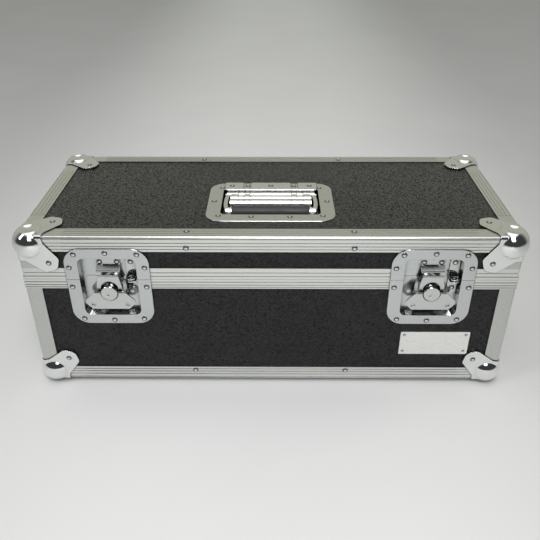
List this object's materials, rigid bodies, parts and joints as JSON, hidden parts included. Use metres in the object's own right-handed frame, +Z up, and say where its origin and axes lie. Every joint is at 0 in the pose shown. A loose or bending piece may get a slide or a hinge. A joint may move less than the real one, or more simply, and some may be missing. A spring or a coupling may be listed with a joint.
{
  "type": "record case",
  "caption": "Hard travel case for 7-inch records, with a hinged lid, recessed butterfly latches, ball corners and a recessed sprung carrying handle.",
  "frame": {"origin": "on the surface that the case stands on, under the middle of the closed case", "axes": "+Z up, front with the latches towards -Y, +X to the right as seen from the front"},
  "size_m": [0.6154, 0.262, 0.2282],
  "materials": {
    "laminate": "plywood faced with black hammer-grained laminate",
    "profile": "satin anodised extrusion",
    "ball_corner": "bright plated pressing",
    "dish": "bright zinc plated pressing",
    "fitting": "bright nickel plate",
    "rivet": "bright zinc plated",
    "badge": "brushed sheet, bare",
    "spring": "oiled spring steel",
    "grip": "matt moulded rubber",
    "foam": "dark open-cell foam"
  },
  "bodies": {
    "base": {"badge_plate": "badge", "base_back_panel": "laminate", "base_ball_corner_back_left": "ball_corner", "base_ball_corner_back_right": "ball_corner", "base_ball_corner_front_left": "ball_corner", "base_ball_corner_front_right": "ball_corner", "base_bottom_panel": "laminate", "base_corner_angles": "profile", "base_edge_back": "profile", "base_edge_front": "profile", "base_edge_sides": "profile", "base_foam": "foam", "base_front_panel": "laminate", "base_hinge_leaves": "fitting", "base_left_panel": "laminate", "base_padlock_lugs": "fitting", "base_right_panel": "laminate", "base_rim_back": "profile", "base_rim_front": "profile", "base_rim_sides": "profile", "base_rivets": "rivet", "hinge_pins": "fitting", "left_latch_lower_dish": "dish", "right_latch_lower_dish": "dish"},
    "lid": {"handle_axle": "fitting", "handle_dish": "dish", "handle_hinge_plate": "fitting", "handle_spring": "spring", "latch_keepers": "fitting", "left_latch_upper_dish": "dish", "lid_back_panel": "laminate", "lid_ball_corner_back_left": "ball_corner", "lid_ball_corner_back_right": "ball_corner", "lid_ball_corner_front_left": "ball_corner", "lid_ball_corner_front_right": "ball_corner", "lid_corner_angles": "profile", "lid_edge_back": "profile", "lid_edge_front": "profile", "lid_edge_sides": "profile", "lid_foam": "foam", "lid_front_panel": "laminate", "lid_hinge_leaves": "fitting", "lid_left_panel": "laminate", "lid_padlock_lugs": "fitting", "lid_right_panel": "laminate", "lid_rim_back": "profile", "lid_rim_front": "profile", "lid_rim_sides": "profile", "lid_rivets": "rivet", "lid_top_panel": "laminate", "right_latch_upper_dish": "dish"},
    "left_hub": {"left_latch_hub": "fitting"},
    "left_hook": {"left_latch_hook": "fitting"},
    "left_wing": {"left_latch_wing": "fitting"},
    "right_hub": {"right_latch_hub": "fitting"},
    "right_hook": {"right_latch_hook": "fitting"},
    "right_wing": {"right_latch_wing": "fitting"},
    "handle": {"handle_bail": "fitting", "handle_grip": "grip"}
  },
  "joints": [
    {"name": "lid_hinge", "type": "hinge", "parent": "base", "child": "lid", "pos_m": [0, 0.1273, 0.1652], "axis": [-1, 0, 0], "range_deg": [0, 100]},
    {"name": "handle_swing", "type": "hinge", "parent": "lid", "child": "handle", "pos_m": [0, 0, 0.2187], "axis": [-1, 0, 0], "range_deg": [0, 90], "stiffness_Nm_per_rad": 0.25, "springref_deg": -20.05},
    {"name": "left_latch_turn", "type": "hinge", "parent": "base", "child": "left_hub", "pos_m": [-0.196, -0.123, 0.1492], "axis": [0, -1, 0], "range_deg": [0, 180]},
    {"name": "left_wing_fold", "type": "hinge", "parent": "left_hub", "child": "left_wing", "pos_m": [-0.196, -0.1283, 0.1492], "axis": [-1, 0, 0], "range_deg": [0, 90]},
    {"name": "left_hook_slide", "type": "slide", "parent": "base", "child": "left_hook", "axis": [0, 0, 1], "range_m": [0, 0.006]},
    {"name": "right_latch_turn", "type": "hinge", "parent": "base", "child": "right_hub", "pos_m": [0.196, -0.123, 0.1492], "axis": [0, -1, 0], "range_deg": [0, 180]},
    {"name": "right_wing_fold", "type": "hinge", "parent": "right_hub", "child": "right_wing", "pos_m": [0.196, -0.1283, 0.1492], "axis": [-1, 0, 0], "range_deg": [0, 90]},
    {"name": "right_hook_slide", "type": "slide", "parent": "base", "child": "right_hook", "axis": [0, 0, 1], "range_m": [0, 0.006]}
  ],
  "couplings": [
    {"joint": "left_hook_slide", "follows": "left_latch_turn", "m_per_rad": 0.0019099},
    {"joint": "right_hook_slide", "follows": "right_latch_turn", "m_per_rad": 0.0019099}
  ]
}
